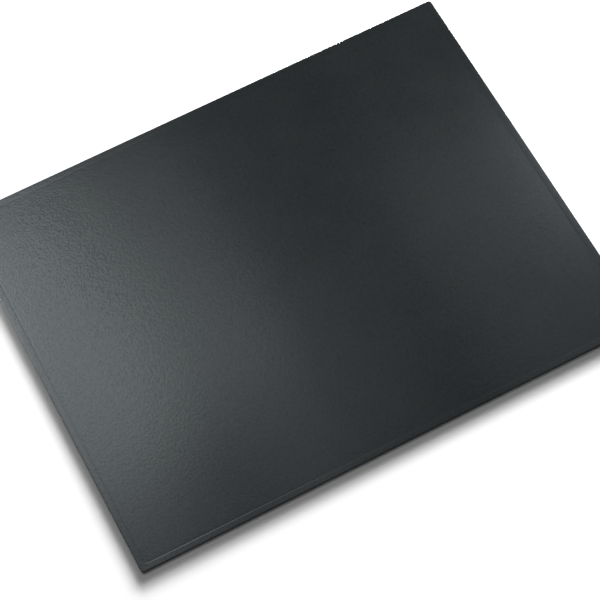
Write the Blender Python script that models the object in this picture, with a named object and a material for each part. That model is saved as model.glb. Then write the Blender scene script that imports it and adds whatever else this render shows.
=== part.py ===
"""Desk mat: a padded, flexible writing mat that lies loose on a desk.

Four sheets are bonded into one mat. A grained cover film carries the raised rim and the pressed border line,
and rolls down over the edge. It closes over a foam core and a thin fleece that keeps the mat from stretching,
and its lip is welded to the non-slip base sheet.

X runs along the mat's long side, the user sits at -Y, and Z is up from the desk. The origin is at the middle
of the underside. Bonded faces keep a small gap, so the total height is the sheets plus three gaps.
"""

import math

import bmesh
import bpy

# Driving dimensions, in metres.
MAT_LENGTH = 0.650
MAT_WIDTH = 0.520
CORNER_RADIUS = 0.004
BOND_GAP = 0.0003

BASE_THICKNESS = 0.0005
FLEECE_THICKNESS = 0.0002
FOAM_THICKNESS = 0.0008
FILM_THICKNESS = 0.0005

RIM_WIDTH = 0.008
RIM_HEIGHT = 0.0001
EDGE_ROLL_RADIUS = 0.0010

GROOVE_WIDTH = 0.0028
GROOVE_DEPTH = 0.00035
GROOVE_WALL_WIDTH = 0.00025
GROOVE_FLOOR_WIDTH = 0.0003
GROOVE_CORNER_RADIUS = 0.004

CORNER_STEPS = 8
ROLL_STEPS = 4
CUTTER_OVERRUN = 0.001

# Levels above the desk that follow from the stack of sheets.
FLEECE_BOTTOM = BASE_THICKNESS + BOND_GAP
FLEECE_TOP = FLEECE_BOTTOM + FLEECE_THICKNESS
FOAM_BOTTOM = FLEECE_TOP + BOND_GAP
FOAM_FIELD = FOAM_BOTTOM + FOAM_THICKNESS
FILM_UNDERSIDE = FOAM_FIELD + BOND_GAP
FILM_FIELD = FILM_UNDERSIDE + FILM_THICKNESS
LIP_BOTTOM = BASE_THICKNESS + BOND_GAP
CORE_INSET = FILM_THICKNESS + BOND_GAP


def clear_scene():
    for thing in list(bpy.data.objects):
        bpy.data.objects.remove(thing, do_unlink=True)


def new_collection(name):
    collection = bpy.data.collections.new(name)
    bpy.context.scene.collection.children.link(collection)
    return collection


def principled(name, colour, roughness):
    """A plastic, foam or fibre material with one base colour, linear RGB."""
    material = bpy.data.materials.new(name)
    material.use_nodes = True
    shader = material.node_tree.nodes["Principled BSDF"]
    shader.inputs["Base Color"].default_value = (*colour, 1.0)
    shader.inputs["Roughness"].default_value = roughness
    shader.inputs["Metallic"].default_value = 0.0
    return material


def outline_points(inset, radius):
    """The mat's outline moved in by inset, counter-clockwise: four corner arcs joined by straight sides."""
    corner_x = MAT_LENGTH / 2 - inset - radius
    corner_y = MAT_WIDTH / 2 - inset - radius
    centres = [(corner_x, -corner_y), (corner_x, corner_y), (-corner_x, corner_y), (-corner_x, -corner_y)]
    points = []
    for quarter, (x, y) in enumerate(centres):
        for step in range(CORNER_STEPS + 1):
            angle = math.pi / 2 * (quarter - 1 + step / CORNER_STEPS)
            points.append((x + radius * math.cos(angle), y + radius * math.sin(angle)))
    return points


def closed_line(name, points, dimensions):
    """A curve object that joins the points in the XY plane and returns to the first."""
    line = bpy.data.curves.new(name, "CURVE")
    line.dimensions = dimensions
    spline = line.splines.new("POLY")
    spline.points.add(len(points) - 1)
    for point, (x, y) in zip(spline.points, points):
        point.co = (x, y, 0.0, 1.0)
    spline.use_cyclic_u = True
    return bpy.data.objects.new(name, line)


def flat_sheet(name, collection, inset, bottom, top):
    """A sheet of even thickness with the mat's outline, moved in by inset."""
    sheet = closed_line(name, outline_points(inset, CORNER_RADIUS - inset), "2D")
    sheet.data.fill_mode = "BOTH"
    sheet.data.extrude = (top - bottom) / 2
    sheet.location.z = (top + bottom) / 2
    collection.objects.link(sheet)
    return sheet


def as_mesh(curve_object, collection):
    """The curve's shape as a closed mesh object under the same name. The curve is removed."""
    bpy.context.view_layer.update()
    graph = bpy.context.evaluated_depsgraph_get()
    mesh = bpy.data.meshes.new_from_object(curve_object.evaluated_get(graph))
    shape = bmesh.new()
    shape.from_mesh(mesh)
    bmesh.ops.remove_doubles(shape, verts=shape.verts, dist=1e-6)
    bmesh.ops.dissolve_limit(shape, angle_limit=math.radians(1), verts=shape.verts, edges=shape.edges)
    bmesh.ops.recalc_face_normals(shape, faces=shape.faces)
    shape.to_mesh(mesh)
    shape.free()
    name, place = curve_object.name, curve_object.matrix_world.copy()
    bpy.data.objects.remove(curve_object)
    solid = bpy.data.objects.new(name, mesh)
    solid.matrix_world = place
    collection.objects.link(solid)
    return solid


def roll_top_edge(solid, radius):
    """Rounds the edge between the top face and the side."""
    shape = bmesh.new()
    shape.from_mesh(solid.data)
    top = max(vertex.co.z for vertex in shape.verts)
    rim = [edge for edge in shape.edges if all(abs(end.co.z - top) < 1e-6 for end in edge.verts)]
    bmesh.ops.bevel(shape, geom=rim, offset=radius, segments=ROLL_STEPS, profile=0.5, affect="EDGES")
    shape.to_mesh(solid.data)
    shape.free()


def cut(solid, cutter):
    cutter.hide_render = True
    cutter.display_type = "WIRE"
    boolean = solid.modifiers.new("cut " + cutter.name, "BOOLEAN")
    boolean.operation = "DIFFERENCE"
    boolean.solver = "EXACT"
    boolean.object = cutter


def field_cutter(name, cutters, field_level):
    """Everything above the writing field, inside the rim."""
    sunk = closed_line(name, outline_points(RIM_WIDTH, GROOVE_CORNER_RADIUS), "2D")
    sunk.data.fill_mode = "BOTH"
    sunk.data.extrude = CUTTER_OVERRUN / 2
    sunk.location.z = field_level + CUTTER_OVERRUN / 2
    cutters.objects.link(sunk)
    return as_mesh(sunk, cutters)


def groove_cutter(name, cutters, field_level):
    """The border line's section carried round inside the rim: a steep wall at the rim, a narrow floor, and a
    gentle slope that meets the field. The section is drawn inwards from the rim, with 0 at the field's level."""
    floor_end = GROOVE_WALL_WIDTH + GROOVE_FLOOR_WIDTH
    slope = GROOVE_DEPTH / (GROOVE_WIDTH - floor_end)
    past_field = GROOVE_WIDTH + GROOVE_DEPTH
    inwards = [
        (0.0, CUTTER_OVERRUN),
        (0.0, 0.0),
        (GROOVE_WALL_WIDTH, -GROOVE_DEPTH),
        (floor_end, -GROOVE_DEPTH),
        (past_field, slope * (past_field - GROOVE_WIDTH)),
        (past_field, CUTTER_OVERRUN),
    ]
    section = closed_line(name + "_section", [(-distance, height) for distance, height in inwards], "2D")
    section.data.fill_mode = "NONE"
    cutters.objects.link(section)
    path = closed_line(name, outline_points(RIM_WIDTH, GROOVE_CORNER_RADIUS), "3D")
    path.data.twist_mode = "Z_UP"
    path.data.bevel_mode = "OBJECT"
    path.data.bevel_object = section
    path.location.z = field_level
    cutters.objects.link(path)
    swept = as_mesh(path, cutters)
    bpy.data.objects.remove(section)
    return swept


def pressed_slab(name, collection, cutters, inset, bottom, field_level, roll_radius):
    """A slab with the mat's outline, moved in by inset, whose top is shaped as the pressing tool shapes it:
    a rolled edge, a rim, the border line and the writing field just below the rim."""
    blank = as_mesh(flat_sheet(name, collection, inset, bottom, field_level + RIM_HEIGHT), collection)
    roll_top_edge(blank, roll_radius)
    cut(blank, field_cutter(name + "_field_cutter", cutters, field_level))
    cut(blank, groove_cutter(name + "_groove_cutter", cutters, field_level))
    return blank


def make_cover_film(parts, cutters):
    """The film follows the pressed shape on both sides, so its hollow is the same slab, one film smaller."""
    cover = pressed_slab("grained_cover_film", parts, cutters, 0.0, LIP_BOTTOM, FILM_FIELD, EDGE_ROLL_RADIUS)
    hollow = pressed_slab(
        "cover_hollow_cutter",
        cutters,
        cutters,
        FILM_THICKNESS,
        LIP_BOTTOM - CUTTER_OVERRUN,
        FILM_UNDERSIDE,
        EDGE_ROLL_RADIUS - FILM_THICKNESS,
    )
    cut(cover, hollow)
    cover.data.shade_smooth()
    cover.data.set_sharp_from_angle(angle=math.radians(30))
    cover.data.materials.append(principled("satin grained soft vinyl", (0.019, 0.023, 0.024), 0.42))
    return cover


def make_foam_core(parts, cutters):
    roll = EDGE_ROLL_RADIUS - CORE_INSET
    foam = pressed_slab("foam_core", parts, cutters, CORE_INSET, FOAM_BOTTOM, FOAM_FIELD, roll)
    foam.data.materials.append(principled("black closed-cell foam", (0.030, 0.031, 0.032), 0.90))
    return foam


def make_fleece(parts):
    fleece = flat_sheet("stabilising_fleece", parts, CORE_INSET, FLEECE_BOTTOM, FLEECE_TOP)
    fleece.data.materials.append(principled("grey polyester fleece", (0.190, 0.195, 0.200), 0.95))
    return fleece


def make_base_sheet(parts):
    base = flat_sheet("non_slip_base_sheet", parts, 0.0, 0.0, BASE_THICKNESS)
    base.data.materials.append(principled("black non-slip foamed vinyl", (0.014, 0.015, 0.016), 0.85))
    return base


def build_desk_mat():
    clear_scene()
    parts = new_collection("desk_mat")
    cutters = new_collection("desk_mat_cutters")
    pieces = [
        make_base_sheet(parts),
        make_fleece(parts),
        make_foam_core(parts, cutters),
        make_cover_film(parts, cutters),
    ]
    origin = bpy.data.objects.new("desk_mat_origin", None)
    parts.objects.link(origin)
    for piece in pieces:
        piece.parent = origin


build_desk_mat()
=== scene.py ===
"""Looks of the desk mat: a padded writing mat of soft vinyl that lies loose on a desk.

The mat is four bonded sheets: a grained cover film, a foam core, a thin fleece that keeps it from
stretching, and a non-slip base sheet. Each is worked out on a grid that carries the pressed edge
section round the outline.
"""

import math

import bpy
import numpy as np
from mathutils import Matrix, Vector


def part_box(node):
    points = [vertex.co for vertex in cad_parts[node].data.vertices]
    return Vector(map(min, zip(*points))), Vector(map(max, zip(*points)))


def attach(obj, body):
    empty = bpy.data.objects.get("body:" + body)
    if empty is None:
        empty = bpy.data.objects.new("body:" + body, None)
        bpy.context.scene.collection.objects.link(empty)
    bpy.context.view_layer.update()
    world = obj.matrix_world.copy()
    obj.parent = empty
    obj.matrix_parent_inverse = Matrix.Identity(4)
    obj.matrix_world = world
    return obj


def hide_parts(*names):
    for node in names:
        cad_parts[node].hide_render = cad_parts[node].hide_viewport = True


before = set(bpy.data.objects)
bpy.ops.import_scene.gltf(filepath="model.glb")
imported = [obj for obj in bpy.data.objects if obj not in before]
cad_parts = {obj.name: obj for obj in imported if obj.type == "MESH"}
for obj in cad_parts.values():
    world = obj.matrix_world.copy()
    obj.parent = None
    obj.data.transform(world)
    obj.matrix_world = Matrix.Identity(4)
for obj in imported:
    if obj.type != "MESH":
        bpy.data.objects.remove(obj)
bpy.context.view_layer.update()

MM = 0.001

# Sections of the pressed edge, walked from the lip at the desk to the writing field. Each row is the
# distance in from the outline, the height above the desk and the radius of the corner there, all in
# millimetres.
COVER_OUTSIDE = np.array([
    (0.03, 0.54, 3.97), (0.00, 0.60, 4.00), (0.00, 1.40, 4.00), (0.00, 2.60, 4.00), (0.02, 2.75, 3.98),
    (0.08, 2.86, 3.92), (0.19, 2.93, 3.81), (0.36, 2.97, 3.64), (0.80, 2.995, 3.20), (1.60, 3.00, 3.00),
    (4.00, 2.98, 3.40), (6.80, 2.957, 4.00), (7.70, 2.945, 4.00), (7.95, 2.93, 4.00), (8.08, 2.905, 3.95),
    (8.20, 2.88, 3.90), (8.35, 2.868, 3.75), (8.80, 2.868, 3.30), (9.50, 2.88, 2.70), (10.20, 2.89, 2.00),
    (10.90, 2.897, 1.30), (11.60, 2.90, 0.80),
])
FILM_THICKNESS = 0.5
COVER_INSIDE = np.concatenate([
    [
        (0.47, 0.54, 3.50), (0.50, 0.60, 3.50), (0.50, 1.40, 3.50), (0.50, 2.20, 3.50), (0.52, 2.30, 3.48),
        (0.58, 2.39, 3.42), (0.69, 2.44, 3.31), (0.85, 2.47, 3.15), (1.20, 2.495, 3.00), (1.80, 2.50, 3.00),
    ],
    COVER_OUTSIDE[10:] - (0.0, FILM_THICKNESS, 0.0),
])
FOAM_TOP = np.array([
    (0.80, 1.32, 3.20), (0.80, 1.70, 3.20), (0.80, 2.00, 3.20), (0.86, 2.14, 3.14), (1.00, 2.20, 3.00),
    (1.60, 2.20, 3.00), (4.50, 2.165, 3.50), (7.60, 2.13, 4.00), (8.00, 2.09, 4.00), (8.15, 1.90, 3.90),
    (8.35, 1.76, 3.70), (8.70, 1.75, 3.40), (9.60, 1.89, 2.60), (10.90, 2.08, 1.30), (11.60, 2.10, 0.80),
])
FOAM_UNDERSIDE = np.array([
    (0.82, 1.30, 3.18), (1.00, 1.30, 3.00), (1.40, 1.30, 3.00), (1.80, 1.30, 3.00), (2.20, 1.30, 3.00),
    (2.60, 1.30, 3.00), (4.50, 1.30, 3.50), (7.60, 1.30, 4.00), (8.00, 1.30, 4.00), (8.15, 1.30, 3.90),
    (8.35, 1.30, 3.70), (8.70, 1.30, 3.40), (9.60, 1.30, 2.60), (10.90, 1.30, 1.30), (11.60, 1.30, 0.80),
])
FLEECE_TOP = np.array([
    (0.80, 0.90, 3.20), (0.82, 0.97, 3.18), (0.90, 1.00, 3.10), (3.00, 1.00, 3.00), (8.00, 1.00, 2.00),
])
FLEECE_UNDERSIDE = np.array([
    (0.80, 0.90, 3.20), (0.82, 0.83, 3.18), (0.90, 0.80, 3.10), (3.00, 0.80, 3.00), (8.00, 0.80, 2.00),
])
BASE_EDGE = np.array([
    (0.02, 0.50, 3.98), (0.00, 0.47, 4.00), (0.00, 0.20, 4.00), (0.04, 0.08, 3.96), (0.15, 0.01, 3.85),
    (0.30, 0.00, 3.70), (3.00, 0.00, 3.00), (6.00, 0.00, 1.50),
])

CORNER_ZONE = 16.0 * MM  # the square at each corner in which the grid bends round the arc

# Slow waves of a sheet that lies a little out of flat: wavelengths along X and Y in metres, and phase.
LIE_WAVES = ((0.37, 0.61, 0.4), (0.23, -0.29, 2.1), (0.71, 0.19, 4.0))
FIELD_SAG = 0.05 * MM


def linear(hex_colour):
    """An sRGB hex colour as linear RGBA: each channel undoes the sRGB curve, straight below 0.04045
    and a power of 2.4 above it."""
    channels = [int(hex_colour[place : place + 2], 16) / 255 for place in (1, 3, 5)]
    return [c / 12.92 if c <= 0.04045 else ((c + 0.055) / 1.055) ** 2.4 for c in channels] + [1.0]


# ---- shapes --------------------------------------------------------------------------------------


def grid_places(half_length, half_width, columns, rows, zone_steps):
    """Steps and distances in from the nearest edge for a grid's columns and rows, and whether each is
    in the first half: even steps over the corner zone, then even steps to the far zone. The far half
    mirrors the near one."""

    def line(half, count):
        index = np.arange(count)
        near = np.minimum(index, count - 1 - index)
        inner = (count - 1) / 2 - zone_steps
        beyond = CORNER_ZONE + (near - zone_steps) / inner * (half - CORNER_ZONE)
        distance = np.where(near < zone_steps, near / zone_steps * CORNER_ZONE, beyond)
        return near, distance, index < (count - 1) / 2

    return line(half_length, columns), line(half_width, rows)


def pressed_grid(section, columns, rows, zone_steps):
    """A sheet's face as a grid of points. Ring k of the grid follows row k of the section: a rectangle
    moved in by the row's distance, at its height. Inside the corner zone each leg of the ring is
    shared out evenly, and the part within one radius of the sharp corner is wrapped onto half of the
    corner's arc. Rings past the last row stay at its height. Returns the points and, for each, how far
    in from the outline its ring is."""
    low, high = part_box("grained_cover_film")
    half_length, half_width = (high.x - low.x) / 2, (high.y - low.y) / 2
    (near_x, place_x, left), (near_y, place_y, front) = grid_places(
        half_length, half_width, columns, rows, zone_steps
    )
    index_x, index_y = np.meshgrid(near_x, near_y)
    line_x, line_y = np.meshgrid(place_x, place_y)
    ring = np.minimum(np.minimum(index_x, index_y), len(section) - 1)
    inset, height, radius = (section[ring] * MM).transpose(2, 0, 1)

    last = section[-1, 0] * MM

    def along(index, line):
        share = np.clip((index - ring) / np.maximum(zone_steps - ring, 1), 0, 1)
        return np.where(index < zone_steps, inset + share * (CORNER_ZONE - inset), line)

    on_side = index_x <= index_y
    leg = np.where(on_side, along(index_y, line_y), along(index_x, line_x))
    to_corner = np.clip(leg - inset, 0, None)
    turn = math.pi / 4 * np.clip(1 - to_corner / np.maximum(radius, 1e-9), 0, 1)
    wrapped = to_corner < radius
    across = np.where(wrapped, inset + radius * (1 - np.cos(turn)), inset)
    leg = np.where(wrapped, inset + radius * (1 - np.sin(turn)), leg)

    field = np.minimum(index_x, index_y) >= len(section)
    steps_in = zone_steps - (len(section) - 1)

    def field_line(index, line):
        return np.where(
            index < zone_steps, last + (index - len(section) + 1) / steps_in * (CORNER_ZONE - last), line
        )

    from_side = np.where(field, field_line(index_x, line_x), np.where(on_side, across, leg))
    from_front = np.where(field, field_line(index_y, line_y), np.where(on_side, leg, across))
    is_left, is_front = np.meshgrid(left, front)
    x = np.where(is_left, -half_length + from_side, half_length - from_side)
    y = np.where(is_front, -half_width + from_front, half_width - from_front)
    middle_x, middle_y = (low.x + high.x) / 2, (low.y + high.y) / 2
    return np.stack([x + middle_x, y + middle_y, height], axis=-1), inset


def grid_faces(columns, rows, first=0, flip=False):
    """The quads between neighbouring points of a grid, counter-clockwise from above, or from below if
    flipped."""
    number = first + np.arange(columns * rows).reshape(rows, columns)
    quads = np.stack([number[:-1, :-1], number[:-1, 1:], number[1:, 1:], number[1:, :-1]], axis=-1)
    quads = quads.reshape(-1, 4)
    return quads[:, ::-1] if flip else quads


def border(columns, rows, first=0):
    """The numbers of a grid's outer points, counter-clockwise from above."""
    number = first + np.arange(columns * rows).reshape(rows, columns)
    return np.concatenate([number[0, :-1], number[:-1, -1], number[-1, :0:-1], number[:0:-1, 0]])


def mesh_piece(name, points, faces, values=None):
    """A smooth-shaded mesh object at the origin. Values are point attributes by name."""
    mesh = bpy.data.meshes.new(name)
    mesh.from_pydata(points.tolist(), [], faces)
    for attribute_name, numbers in (values or {}).items():
        attribute = mesh.attributes.new(attribute_name, "FLOAT", "POINT")
        attribute.data.foreach_set("value", numbers.astype(np.float32).ravel())
    mesh.shade_smooth()
    mesh.validate()
    piece = bpy.data.objects.new(name, mesh)
    bpy.context.scene.collection.objects.link(piece)
    return piece


def closed_sheet(name, top, underside, values=None):
    """Two grids of the same size joined round their borders by one strip of quads. Values are given
    for the top and hold for the underside too."""
    rows, columns = top.shape[:2]
    count = rows * columns
    upper, lower = border(columns, rows), border(columns, rows, count)
    strip = np.stack([lower, np.roll(lower, -1), np.roll(upper, -1), upper], axis=-1)
    faces = np.concatenate([grid_faces(columns, rows), grid_faces(columns, rows, count, flip=True), strip])
    points = np.concatenate([top.reshape(-1, 3), underside.reshape(-1, 3)])
    doubled = {key: np.concatenate([numbers.ravel()] * 2) for key, numbers in (values or {}).items()}
    return mesh_piece(name, points, faces.tolist(), doubled)


def smooth_step(value, start, end):
    """0 before start, 1 after end, and a cubic ease between them."""
    share = np.clip((value - start) / (end - start), 0, 1)
    return share * share * (3 - 2 * share)


def distance_inside(points, cad_node):
    """How far each point is from the nearest side of a CAD node's box, seen from above."""
    low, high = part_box(cad_node)
    x, y = points[..., 0], points[..., 1]
    return np.minimum(np.minimum(x - low.x, high.x - x), np.minimum(y - low.y, high.y - y))


def lie(points, depth):
    """How a soft mat lies: the sum of three slow cosine waves over the field, 0 to -depth, faded out
    near the rim."""
    x, y = points[..., 0], points[..., 1]
    waves = sum(np.cos(2 * math.pi * (x / length + y / width) + phase) for length, width, phase in LIE_WAVES)
    share = waves / (2 * len(LIE_WAVES)) + 0.5
    return -depth * share * smooth_step(distance_inside(points, "grained_cover_film"), 14 * MM, 60 * MM)


def ease_border(points, inset):
    """How much the border is raised where the tool presses less: a share of the way from the section
    to the straight slope between the rim's crest and the field. The share grows from none near the
    left end to its most past the middle."""
    most, from_x, to_x = 0.6, -0.25, 0.05
    crest, field = COVER_OUTSIDE[COVER_OUTSIDE[:, 1].argmax()] * MM, COVER_OUTSIDE[-1] * MM
    slope = np.interp(inset, (crest[0], field[0]), (crest[1], field[1]))
    share = most * smooth_step(points[..., 0], from_x, to_x)
    return np.where(inset > crest[0], share * (slope - points[..., 2]), 0.0)


def flattened_grain(inset):
    """1 in the border line and on the rolled edge, where the tool has flattened the grain, easing to 0
    beside them."""
    line = smooth_step(inset, 7.8 * MM, 8.2 * MM) * (1 - smooth_step(inset, 8.9 * MM, 10.9 * MM))
    roll = 1 - smooth_step(inset, 0.3 * MM, 2.0 * MM)
    return np.maximum(line, roll)


def make_cover():
    """The film's outside and inside follow their sections, so it is about 0.5 mm thick all over."""
    columns, rows, zone_steps = 233, 197, 34
    outside, inset = pressed_grid(COVER_OUTSIDE, columns, rows, zone_steps)
    inside, _ = pressed_grid(COVER_INSIDE, columns, rows, zone_steps)
    lift = lie(outside, FIELD_SAG) + ease_border(outside, inset)
    outside[..., 2] += lift
    inside[..., 2] += lift
    return closed_sheet("cover_film", outside, inside, {"pressed": flattened_grain(inset)})


def make_foam():
    """A closed-cell foam slab whose top is pressed with the cover and whose underside is flat."""
    columns, rows, zone_steps = 161, 131, 26
    top, _ = pressed_grid(FOAM_TOP, columns, rows, zone_steps)
    underside, _ = pressed_grid(FOAM_UNDERSIDE, columns, rows, zone_steps)
    top[..., 2] += lie(top, FIELD_SAG)
    return closed_sheet("foam_slab", top, underside)


def make_fleece():
    """A flat sheet whose top dips by a few hundredths of a millimetre near its middle, where the
    needles have pulled it tighter. The dips are the field's slow waves, drawn closer together."""
    columns, rows, zone_steps = 161, 131, 12
    closer, dip = 3.1, 0.03 * MM
    top, _ = pressed_grid(FLEECE_TOP, columns, rows, zone_steps)
    underside, _ = pressed_grid(FLEECE_UNDERSIDE, columns, rows, zone_steps)
    top[..., 2] += lie(top * (closer, closer, 1.0), dip)
    return closed_sheet("fleece_sheet", top, underside)


def make_base():
    """A thin sheet with a flat top and a waffle of soft pads below. Height of the underside is the
    waffle's depth times half of (1 - cos x cos y), which is 0 at the pads and full between them, faded
    out over a flat edge."""
    columns, rows, zone_steps = 345, 277, 12
    under, _ = pressed_grid(BASE_EDGE, columns, rows, zone_steps)
    pad_pitch, waffle_depth = 7.6 * MM, 0.14 * MM
    x, y = under[..., 0], under[..., 1]
    waves = np.cos(2 * math.pi * x / pad_pitch) * np.cos(2 * math.pi * y / pad_pitch)
    inside = distance_inside(under, "non_slip_base_sheet")
    under[..., 2] += waffle_depth * (1 - waves) / 2 * smooth_step(inside, 4 * MM, 7 * MM)
    faces = grid_faces(columns, rows, flip=True).tolist() + [border(columns, rows).tolist()]
    return mesh_piece("base_sheet", under.reshape(-1, 3), faces)


# ---- materials -----------------------------------------------------------------------------------


def new_material(name, **settings):
    """A material with one Principled shader. The settings are numbers or colours on the shader's own
    sockets."""
    material = bpy.data.materials.new(name)
    material.use_nodes = True
    shader = material.node_tree.nodes["Principled BSDF"]
    for socket, value in settings.items():
        shader.inputs[socket.replace("_", " ")].default_value = value
    return material, shader


def node(material, kind, links=(), inputs=None, **settings):
    """Adds a node. Links are (input socket, output socket of another node); inputs are numbers by
    socket."""
    made = material.node_tree.nodes.new(kind)
    for name, value in settings.items():
        setattr(made, name, value)
    for socket, value in (inputs or {}).items():
        made.inputs[socket].default_value = value
    for socket, source in links:
        material.node_tree.links.new(made.inputs[socket], source)
    return made


def ramp(material, source, first, last):
    """A colour that follows a value. First and last are the ramp's ends: the value there and its
    linear colour."""
    made = node(material, "ShaderNodeValToRGB", [("Fac", source)])
    for element, (position, colour) in zip(made.color_ramp.elements, (first, last)):
        element.position, element.color = position, colour
    return made.outputs["Color"]


def drive(material, shader, sources):
    """Links outputs to the shader's sockets, given by the sockets' names."""
    for socket, source in sources.items():
        material.node_tree.links.new(shader.inputs[socket], source)


def leather_grained_vinyl():
    """Calendered soft PVC film with an embossed leather grain and a satin lacquer. To the eye it is a
    near-black, slightly cool sheet whose broad soft highlight breaks up into fine pebbles."""
    m, shader = new_material(
        "calendered_soft_vinyl_embossed_leather_grain",
        IOR=1.54,
        Coat_Weight=1.0,
        Coat_IOR=1.5,
        Coat_Roughness=0.19,
    )
    place = node(m, "ShaderNodeTexCoord").outputs["Object"]
    pressed = node(m, "ShaderNodeAttribute", attribute_name="pressed").outputs["Fac"]

    # Pebbles of a fine leather grain are about 1.2 mm across. They are drawn at 2.4 mm so that they show.
    pebbles = node(m, "ShaderNodeTexVoronoi", [("Vector", place)],
                   {"Scale": 1 / (2.4 * MM), "Smoothness": 0.6}, feature="SMOOTH_F1")
    creases = node(m, "ShaderNodeTexNoise", [("Vector", place)],
                   {"Scale": 1 / (3.4 * MM), "Detail": 4.0, "Roughness": 0.6, "Distortion": 0.4})
    dapple = node(m, "ShaderNodeTexNoise", [("Vector", place)],
                  {"Scale": 1 / (9.0 * MM), "Detail": 2.0, "Roughness": 0.5})
    patches = node(m, "ShaderNodeTexNoise", [("Vector", place)],
                   {"Scale": 1 / (55.0 * MM), "Detail": 2.0, "Roughness": 0.5})

    # Height of the grain: pebbles and creases, on a dapple of slow swells.
    relief = node(m, "ShaderNodeMath", [(0, pebbles.outputs["Distance"]), (1, creases.outputs["Fac"])],
                  operation="ADD")
    grain = node(m, "ShaderNodeMath", [(0, dapple.outputs["Fac"]), (2, relief.outputs["Value"])], {1: 0.6},
                 operation="MULTIPLY_ADD")

    # Painted shade: the specular tint is darker in the hollows of the grain than on its tops, and its cool
    # cast stands in for a cool light.
    painted_hollow_shade_tint = ramp(m, relief.outputs["Value"], (0.6, (0.44, 0.60, 0.72, 1.0)), (1.0, (0.78, 0.95, 1.0, 1.0)))

    # Gloss varies a little with how closely the creases lie.
    close = node(m, "ShaderNodeMath", [(0, creases.outputs["Fac"]), (1, patches.outputs["Fac"])],
                 operation="ADD")
    gloss = node(m, "ShaderNodeMapRange", [("Value", close.outputs["Value"])],
                 {"From Min": 0.6, "From Max": 1.4, "To Min": 0.18, "To Max": 0.22})
    colour = ramp(m, creases.outputs["Fac"], (0.3, linear("#070b0d")), (0.7, linear("#0c1012")))

    # The emboss is deepest round one place near the left side and gets shallower away from it.
    away = node(m, "ShaderNodeVectorMath", [(0, place)], {1: (-0.28, 0.08, 0.0)}, operation="DISTANCE")
    depth = node(m, "ShaderNodeMapRange", [("Value", away.outputs["Value"])],
                 {"From Min": 0.08, "From Max": 0.33, "To Min": 1.0, "To Max": 0.3},
                 interpolation_type="SMOOTHSTEP")
    flattened = node(m, "ShaderNodeMapRange", [("Value", pressed), ("To Min", depth.outputs["Result"])],
                     {"To Max": 0.25})
    bump = node(m, "ShaderNodeBump",
                [("Height", grain.outputs["Value"]), ("Strength", flattened.outputs["Result"])],
                {"Distance": 0.085 * MM})
    drive(m, shader, {
        "Base Color": colour,
        # Specular Tint carries painted shade in the grain's hollows and a cool cast that stands in for the
        # light.
        "Specular Tint": painted_hollow_shade_tint,
        "Roughness": gloss.outputs["Result"],
        "Normal": bump.outputs["Normal"],
        "Coat Normal": bump.outputs["Normal"],
    })
    return m


def closed_cell_foam():
    """Black closed-cell polyethylene foam with a skived skin: matt, with small open bubbles at the cut."""
    m, shader = new_material("skived_closed_cell_polyethylene_foam", IOR=1.5, Roughness=0.85)
    place = node(m, "ShaderNodeTexCoord").outputs["Object"]
    cells = node(m, "ShaderNodeTexVoronoi", [("Vector", place)], {"Scale": 1 / (0.9 * MM)}, feature="F1")
    # Painted shade: the colour is darker in the hollows of the bubbles, where the bump is low, than on the
    # cell walls.
    colour = ramp(m, cells.outputs["Distance"], (0.15, linear("#1c1d1e")), (0.75, linear("#37393b")))
    bump = node(m, "ShaderNodeBump", [("Height", cells.outputs["Distance"])], {"Distance": 0.15 * MM})
    drive(m, shader, {"Base Color": colour, "Normal": bump.outputs["Normal"]})
    return m


def needled_fleece():
    """Grey needled polyester fleece: matt, heathered, with fibres that run both ways."""
    m, shader = new_material("needled_polyester_fleece", IOR=1.5, Roughness=0.95, Sheen_Weight=0.3)
    place = node(m, "ShaderNodeTexCoord").outputs["Object"]
    lengthways = node(m, "ShaderNodeMapping", [("Vector", place)], {"Scale": (0.12, 1.0, 1.0)})
    crossways = node(m, "ShaderNodeMapping", [("Vector", place)], {"Scale": (1.0, 0.15, 1.0)})
    long_fibres = node(m, "ShaderNodeTexNoise", [("Vector", lengthways.outputs["Vector"])],
                       {"Scale": 1 / (0.6 * MM), "Detail": 4.0, "Distortion": 0.8})
    cross_fibres = node(m, "ShaderNodeTexNoise", [("Vector", crossways.outputs["Vector"])],
                        {"Scale": 1 / (0.7 * MM), "Detail": 4.0, "Distortion": 0.8})
    fibres = node(m, "ShaderNodeMath", [(0, long_fibres.outputs["Fac"]), (1, cross_fibres.outputs["Fac"])],
                  operation="MAXIMUM")
    colour = ramp(m, fibres.outputs["Value"], (0.45, linear("#5f6163")), (0.70, linear("#9a9c9e")))
    bump = node(m, "ShaderNodeBump", [("Height", fibres.outputs["Value"])], {"Distance": 0.12 * MM})
    drive(m, shader, {"Base Color": colour, "Normal": bump.outputs["Normal"]})
    return m


def foamed_non_slip_vinyl():
    """Black foamed soft PVC with a pressed fine texture: dead matt and slightly tacky, with small pores."""
    m, shader = new_material("pressed_foamed_non_slip_vinyl", IOR=1.5, Roughness=0.8)
    place = node(m, "ShaderNodeTexCoord").outputs["Object"]
    pores = node(m, "ShaderNodeTexVoronoi", [("Vector", place)], {"Scale": 1 / (1.1 * MM)}, feature="F1")
    cloud = node(m, "ShaderNodeTexNoise", [("Vector", place)], {"Scale": 1 / (14.0 * MM), "Detail": 5.0})
    colour = ramp(m, cloud.outputs["Fac"], (0.35, linear("#1b1c1d")), (0.65, linear("#232527")))
    bump = node(m, "ShaderNodeBump", [("Height", pores.outputs["Distance"])], {"Distance": 0.08 * MM})
    drive(m, shader, {"Base Color": colour, "Normal": bump.outputs["Normal"]})
    return m


def pale_board():
    """A plain matt white painted board under the mat."""
    m, _ = new_material(
        "matt_white_painted_board",
        Base_Color=linear("#f7f7f7"),
        IOR=1.5,
        Roughness=0.9,
        Specular_IOR_Level=0.0,
    )
    return m


# ---- studio --------------------------------------------------------------------------------------


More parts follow.
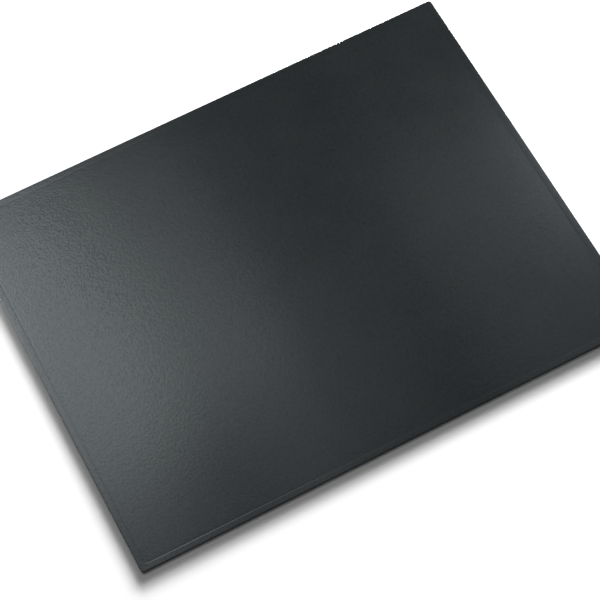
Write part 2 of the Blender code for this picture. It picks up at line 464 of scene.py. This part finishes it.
VIEW_AIM = (-0.0123, -0.0377, 0.0)  # the point on the desk at the middle of the view
VIEW_DISTANCE = 2.8205
VIEW_AZIMUTH = -21.111  # degrees round the mat from the front; negative is towards the left
VIEW_ELEVATION = 62.089  # degrees above the desk
VIEW_ROLL = -6.932  # degrees about the camera's own axis
LENS = 143.55  # focal length in millimetres


def make_camera():
    """Stands off from the aim point by the distance, at the azimuth and elevation, then turns about
    its own axis."""
    data = bpy.data.cameras.new("camera")
    data.lens = LENS
    data.clip_end = 100.0
    camera = bpy.data.objects.new("camera", data)
    bpy.context.scene.collection.objects.link(camera)
    azimuth, elevation = math.radians(VIEW_AZIMUTH), math.radians(VIEW_ELEVATION)
    camera.rotation_euler = (math.pi / 2 - elevation, 0.0, azimuth)
    turn = camera.rotation_euler.to_matrix()
    turn = turn @ type(turn).Rotation(math.radians(VIEW_ROLL), 3, "Z")
    camera.rotation_euler = turn.to_euler()
    camera.location = [aim + VIEW_DISTANCE * back for aim, back in zip(VIEW_AIM, turn.col[2])]
    bpy.context.scene.camera = camera


def make_floor():
    """A large flat board, its top just under the mat."""
    half, level = 12.0, -0.00005
    corners = [(-half, -half, level), (half, -half, level), (half, half, level), (-half, half, level)]
    floor = mesh_piece("floor", np.array(corners), [(0, 1, 2, 3)])
    floor.data.materials.append(pale_board())


OVERHEAD_HEIGHT = 1.20
OVERHEAD_STEP = 0.005
ROOM_LIGHT = 0.03  # how bright the room is to everything but the camera

# White soft boxes that face straight down: place, two sides and power in watts. The first hangs at the
# overhead height and each of the others one step above the last, because two that overlap in one plane
# hide each other. Their powers and those of the windows are the result of a least squares fit that was
# made outside this script, and weren't chosen by hand.
OVERHEAD_BOXES = {
    "outer_left_box": ((-0.50, 0.80), (0.3, 0.3), 1.54),
    "broad_left_box": ((-0.35, 0.65), (0.5, 0.6), 0.70),
    "rear_left_box": ((-0.20, 0.75), (0.3, 0.6), 0.48),
    "near_left_box": ((-0.30, 0.30), (0.3, 0.3), 0.15),
    "far_left_box": ((-0.30, 1.05), (0.3, 0.4), 0.27),
    "near_middle_box": ((0.00, 0.45), (0.3, 0.6), 0.14),
    "rear_middle_box": ((0.00, 0.75), (0.3, 0.6), 0.285),
    "near_right_of_middle_box": ((0.20, 0.40), (0.3, 0.4), 0.09),
    "rear_right_of_middle_box": ((0.20, 0.80), (0.3, 0.4), 0.04),
    "near_right_box": ((0.60, 0.45), (0.3, 0.6), 0.16),
    "rear_right_box": ((0.60, 0.70), (0.4, 0.4), 0.035),
    "outer_right_box": ((0.90, 0.60), (0.3, 0.3), 0.47),
}

# White soft boxes that face the mat from its sides: place, the point that each faces, two sides and
# power in watts.
SIDE_BOXES = {
    "low_left_window": ((2.54, 5.44, 0.70), (0.0, 0.0, 0.70), (2.6, 0.5), 1550.0),
    "low_right_window": ((4.60, 3.86, 0.70), (0.0, 0.0, 0.70), (2.6, 0.5), 1060.0),
    "high_left_window": ((2.54, 5.44, 1.27), (0.0, 0.0, 1.27), (2.6, 0.65), 278.0),
    "high_right_window": ((4.60, 3.86, 1.27), (0.0, 0.0, 1.27), (2.6, 0.65), 336.0),
    "front_fill": ((-0.30, -1.20, 1.80), (0.0, 0.0, 0.0), (2.5, 1.5), 2.0),
    "low_front_fill": ((-1.00, -2.20, 1.10), (0.0, 0.0, 0.0), (3.0, 0.8), 3.5),
}


def make_soft_box(name, place, aim, sides, power):
    data = bpy.data.lights.new(name, "AREA")
    data.shape = "RECTANGLE"
    data.size, data.size_y = sides
    data.energy = power
    light = bpy.data.objects.new(name, data)
    bpy.context.scene.collection.objects.link(light)
    light.location = place
    away = light.location - type(light.location)(aim)
    light.rotation_euler = away.to_track_quat("Z", "Y").to_euler()
    light.visible_camera = False


def make_lights():
    for step, (name, ((x, y), sides, power)) in enumerate(OVERHEAD_BOXES.items()):
        make_soft_box(name, (x, y, OVERHEAD_HEIGHT + step * OVERHEAD_STEP), (x, y, 0.0), sides, power)
    for name, (place, aim, sides, power) in SIDE_BOXES.items():
        make_soft_box(name, place, aim, sides, power)


def make_world():
    """The room is white where the camera sees past the board. To everything else it is nearly dark."""
    world = bpy.data.worlds.new("studio")
    bpy.context.scene.world = world
    world.use_nodes = True
    tree = world.node_tree
    background = tree.nodes["Background"]
    background.inputs["Color"].default_value = (1.0, 1.0, 1.0, 1.0)
    path = tree.nodes.new("ShaderNodeLightPath")
    strength = tree.nodes.new("ShaderNodeMath")
    strength.operation = "MAXIMUM"
    strength.inputs[1].default_value = ROOM_LIGHT
    tree.links.new(strength.inputs[0], path.outputs["Is Camera Ray"])
    tree.links.new(background.inputs["Strength"], strength.outputs["Value"])


# ---- the mat -------------------------------------------------------------------------------------


def finish_piece(piece, material, cad_node):
    piece.data.materials.append(material)
    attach(piece, "root")
    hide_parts(cad_node)
    return piece


def make_mat():
    finish_piece(make_cover(), leather_grained_vinyl(), "grained_cover_film")
    foam = finish_piece(make_foam(), closed_cell_foam(), "foam_core")
    base = finish_piece(make_base(), foamed_non_slip_vinyl(), "non_slip_base_sheet")
    fleece = finish_piece(make_fleece(), needled_fleece(), "stabilising_fleece")


make_camera()
bpy.context.scene.view_settings.view_transform = "Standard"
make_floor()
make_lights()
make_world()
make_mat()
